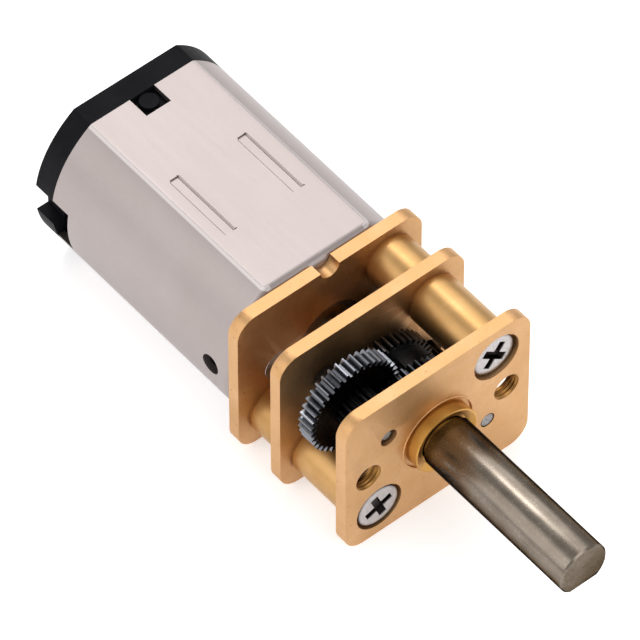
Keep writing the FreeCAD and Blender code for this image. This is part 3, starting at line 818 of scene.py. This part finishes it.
def ribCutters(middle):
    # a pressed channel with a sloping wall on its +Y side and a sharp crease round its floor
    s = canSizes
    low, high = middle - s["ribWidth"] / 2, middle + s["ribWidth"] / 2
    top, over = s["half"], 0.2
    channel = boxCutter((s["ribBack"], low, top - s["ribDepth"]), (s["ribFront"], high, top + over))
    pick(channel, wantEdge=lambda a, b: min(a.y, b.y) > (high - 0.01) * mm and max(a.z, b.z) < top * mm)
    bpy.ops.transform.translate(value=(0, -s["ribSlope"] * mm, 0))
    endEdit()
    crease = high - s["ribSlope"]
    floor = top - s["ribLineDepth"]
    line = s["ribLine"]
    return [channel,
            boxCutter((s["ribBack"] - 0.08, crease - line / 2, floor), (s["ribFront"], crease, top + over)),
            boxCutter((s["ribBack"] + 0.1, low - line * 1.3, floor),
                      (s["ribFront"] + line, low + 0.01, top + over)),
            boxCutter((s["ribFront"] - 0.01, low, floor), (s["ribFront"] + line, high - 0.1, top + over))]


def buildCan():
    s = canSizes
    back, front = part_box("motor_can")[0].x / mm, s["front"]
    piece = flatSidedBar("canShell", back, front, s["blend"], s["frontRound"])
    cavity = flatSidedBar("cutter", back - 1, front - s["wall"], s["blend"] - s["wall"] / 2,
                          s["frontRound"] - s["wall"], s["wall"])
    boss = turned("cutter", [(front - 0.2, s["boss"]), (front + s["bossProud"] - 0.08, s["boss"]),
                             (front + s["bossProud"], s["boss"] - 0.08)])
    piece = weld("canShell", [piece, boss])
    cutters = [cavity, rodCutter(front - 1.2, front + 1, s["bossBore"])]
    for side in (s["screwY"], -s["screwY"]):
        cutters.append(rodCutter(front - 1.2, front + 1, s["screw"], (side, 0)))
    cutters.append(boxCutter((back - 1, -s["topNotch"], s["half"] - 1),
                             (s["topNotchFront"], s["topNotch"], s["half"] + 1)))
    for way in (1, -1):
        reach = sorted((way * (s["radius"] - s["notchDepth"]), way * (s["radius"] + 1)))
        cutters.append(boxCutter((back - 1, reach[0], s["sideNotchLow"]),
                                 (s["sideNotchFront"], reach[1], s["sideNotch"])))
    clearSelection()
    bpy.ops.mesh.primitive_cylinder_add(vertices=48, radius=s["vent"] * mm, depth=20 * mm,
                                        location=(s["ventX"] * mm, 0, 0), rotation=(math.radians(90), 0, 0))
    cutters.append(startPiece("cutter"))
    for way in (1, -1):
        cutters += ribCutters(way * s["ribY"])
    cutAway(piece, cutters)
    softenEdges(piece, s["edge"], 40, 2)
    smooth(piece, 35)
    evenNormals(piece)
    finishPiece(piece, "frame", nickel, ["motor_can"])


capSizes = {"collar": 5.1, "collarBore": 4.25, "collarHalf": 4.5, "collarFront": -21.9, "lugHalf": 0.74,
            "lugTop": 4.6, "lugFront": -22.06, "pip": 0.52, "pipX": -22.8, "pipTop": 4.88, "boss": 2.25,
            "bossProud": 0.7, "bossRim": 0.15, "shaftHole": 1.0, "bearingHole": 1.5, "bearingBack": -25.2,
            "bearingFront": -23.9, "wellBack": -24.2, "wellFront": -23.0, "slotHalf": 0.93,
            "slotDepth": 0.8, "terminalY": 3.6, "terminalThick": 0.3, "terminalHalf": 0.9, "edge": 0.06}


def buildCap():
    s = capSizes
    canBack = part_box("motor_can")[0].x / mm
    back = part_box("end_cap")[0].x / mm + s["bossProud"]
    piece = flatSidedBar("capMoulding", back, canBack, canSizes["blend"])
    collarFront, sunk, wide = s["collarFront"], canBack - 0.1, 9
    collar = turned("cutter", ring([(collarFront, s["collar"]), (sunk, s["collar"]), (sunk, s["collarBore"]),
                                    (collarFront, s["collarBore"])]), hollow=True)
    cutAway(collar, [boxCutter((collarFront - 3, -wide, s["collarHalf"]), (collarFront + 1, wide, wide)),
                     boxCutter((collarFront - 3, -wide, -wide), (collarFront + 1, wide, -s["collarHalf"]))])
    lug = boxCutter((sunk, -s["lugHalf"], s["collarBore"] - 0.2), (s["lugFront"], s["lugHalf"], s["lugTop"]))
    bossEnd, rim = back - s["bossProud"], s["bossRim"]
    boss = turned("cutter", [(back + 0.1, s["boss"]), (bossEnd + rim, s["boss"]), (bossEnd, s["boss"] - rim)])
    clearSelection()
    pipLow = s["collarBore"] - 0.1
    middle = (s["pipTop"] + pipLow) / 2
    bpy.ops.mesh.primitive_cylinder_add(vertices=40, radius=s["pip"] * mm,
                                        depth=(s["pipTop"] - pipLow) * mm,
                                        location=(s["pipX"] * mm, 0, middle * mm))
    pip = startPiece("cutter")
    piece = weld("capMoulding", [piece, collar, lug, pip, boss])
    bearingHole = s["bearingHole"]
    cutters = [rodCutter(back - 2, s["bearingFront"], s["shaftHole"]),
               rodCutter(s["bearingBack"], s["bearingFront"], bearingHole),
               rodCutter(s["wellBack"], s["wellFront"], bearingHole)]
    for way in (1, -1):
        reach = sorted((way * (canSizes["radius"] - s["slotDepth"]), way * 7))
        cutters.append(boxCutter((back - 1, reach[0], -s["slotHalf"]),
                                 (canBack + 0.02, reach[1], s["slotHalf"])))
        blade = sorted((way * s["terminalY"], way * (s["terminalY"] + s["terminalThick"])))
        cutters.append(boxCutter((back - 1, blade[0], -s["terminalHalf"]),
                                 (canBack + 0.5, blade[1], s["terminalHalf"])))
    cutAway(piece, cutters)
    softenEdges(piece, s["edge"], 40, 3)
    smooth(piece, 35)
    evenNormals(piece)
    finishPiece(piece, "frame", plastic, ["end_cap"])


buildCan()
print("stage: can")
buildCap()
print("stage: end cap")

# Gears and the inner parts keep their CAD shape

centre = (0.0, 0.0)
wheels = {"first_idler_wheel": middleOf("first_idler_axle"), "second_idler_wheel": centre,
          "third_idler_wheel": middleOf("third_idler_axle"), "output_gear": centre}
rootDepth = 0.33  # from a tooth's tip down to its root, in millimetres
# tooth colours per wheel: the third idler keeps a lighter metal tone; the darker ones are painted shade for
# teeth that lie in shadow, as on the centre wheels
toothToneAndShade = {"third_idler_wheel": (0.19, 0.195, 0.215), "second_idler_wheel": (0.07, 0.07, 0.075)}
shadedTooth = (0.05, 0.05, 0.055)
for name, axis in wheels.items():
    low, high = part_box(name)
    root = (high.y - low.y) / 2 - rootDepth * mm
    paint(name, gearSteel(name + "Finish", axis, root, toothToneAndShade.get(name, shadedTooth)))

paintJobs = {
    "first_idler_pinion": pinionMetal, "second_idler_pinion": pinionMetal, "third_idler_pinion": pinionMetal,
    "motor_pinion": brassTurned, "output_thrust_washer": axleMetal, "motor_shaft": axleMetal,
    "front_bearing": bronze, "rear_bearing": bronze,
    "magnet_left": magnetBlack, "magnet_right": magnetBlack, "magnet_spring": springMetal,
    "brush_left": contact, "brush_right": contact, "terminal_left": contact, "terminal_right": contact,
    "armature_core": coreSheets, "winding_1": copper, "winding_2": copper, "winding_3": copper,
    "commutator_hub": plastic, "commutator_segments": contact, "varistor_ring": magnetBlack,
    "shim_washers": springMetal,
}
for name, material in paintJobs.items():
    paint(name, material)
for name, core in (("first_idler_axle", 0.34), ("third_idler_axle", 0.25)):
    paint(name, pinSteel(name + "Finish", middleOf(name), core * mm))
print("stage: carried-over nodes")

# Floor, light and camera

studio = {"floorSize": 3.0, "floorGap": 0.00002, "floorGlow": 0.48, "world": 0.62,
          "sky": {"place": (-0.216, 0.18, 0.351), "size": 0.34, "power": 0.58},
          "rim": {"place": (-0.217, 0.080, 0.387), "size": 0.09, "power": 0.22},
          "key": {"place": (-0.12, -0.34, 0.21), "size": 0.34, "power": 0.5},
          "front": {"place": (0.36, 0.06, 0.22), "size": 0.26, "power": 0.4}}

clearSelection()
bpy.ops.mesh.primitive_plane_add(size=studio["floorSize"], location=(0, 0, cadBox[0][2] - studio["floorGap"]))
floor = startPiece("floor")
floorLook = Finish("floorWhite", Roughness=0.9)
floorLook.shader.inputs["Emission Color"].default_value = (1, 1, 1, 1)
floorLook.shader.inputs["Emission Strength"].default_value = studio["floorGlow"]
floorGrain = floorLook.noise(30, 2.0, 0.5)
floorLook.feed("Base Color", floorLook.ramp(floorGrain, (0.2, (0.90, 0.90, 0.90)), (0.8, (0.93, 0.93, 0.93))))
floor.data.materials.append(floorLook.material)


def areaLight(name, place, size, power):
    data = bpy.data.lights.new(name + "Panel", "AREA")
    data.size = size
    data.energy = power
    lamp = bpy.data.objects.new(name + "Panel", data)
    bpy.context.scene.collection.objects.link(lamp)
    lamp.location = place
    lamp.rotation_euler = (-Vector(place)).to_track_quat("-Z", "Y").to_euler()


for name in ("sky", "rim", "key", "front"):
    areaLight(name, **studio[name])

world = bpy.data.worlds.new("studio")
bpy.context.scene.world = world
world.use_nodes = True
world.node_tree.nodes["Background"].inputs["Color"].default_value = (1, 1, 1, 1)
world.node_tree.nodes["Background"].inputs["Strength"].default_value = studio["world"]

cameraSizes = {"place": (0.20034, -0.17346, 0.33962), "azimuth": 50.40, "elevation": 51.306, "roll": 0.085,
               "lens": 485.3, "shiftX": 0.0025, "shiftY": 0.0022}


def placeCamera():
    s = cameraSizes
    data = bpy.data.cameras.new("camera")
    data.lens = s["lens"]
    data.sensor_width = 36.0
    data.shift_x = s["shiftX"]
    data.shift_y = s["shiftY"]
    data.clip_start = 0.01
    data.clip_end = 10.0
    camera = bpy.data.objects.new("camera", data)
    bpy.context.scene.collection.objects.link(camera)
    camera.location = s["place"]
    turn = Matrix.Rotation(math.radians(s["azimuth"]), 3, "Z")
    tilt = Matrix.Rotation(math.radians(90 - s["elevation"]), 3, "X")
    roll = Matrix.Rotation(math.radians(-s["roll"]), 3, "Z")
    camera.rotation_euler = (turn @ tilt @ roll).to_euler()
    bpy.context.scene.camera = camera


placeCamera()
bpy.context.scene.view_settings.view_transform = "Standard"
print("stage: floor, lights, camera")
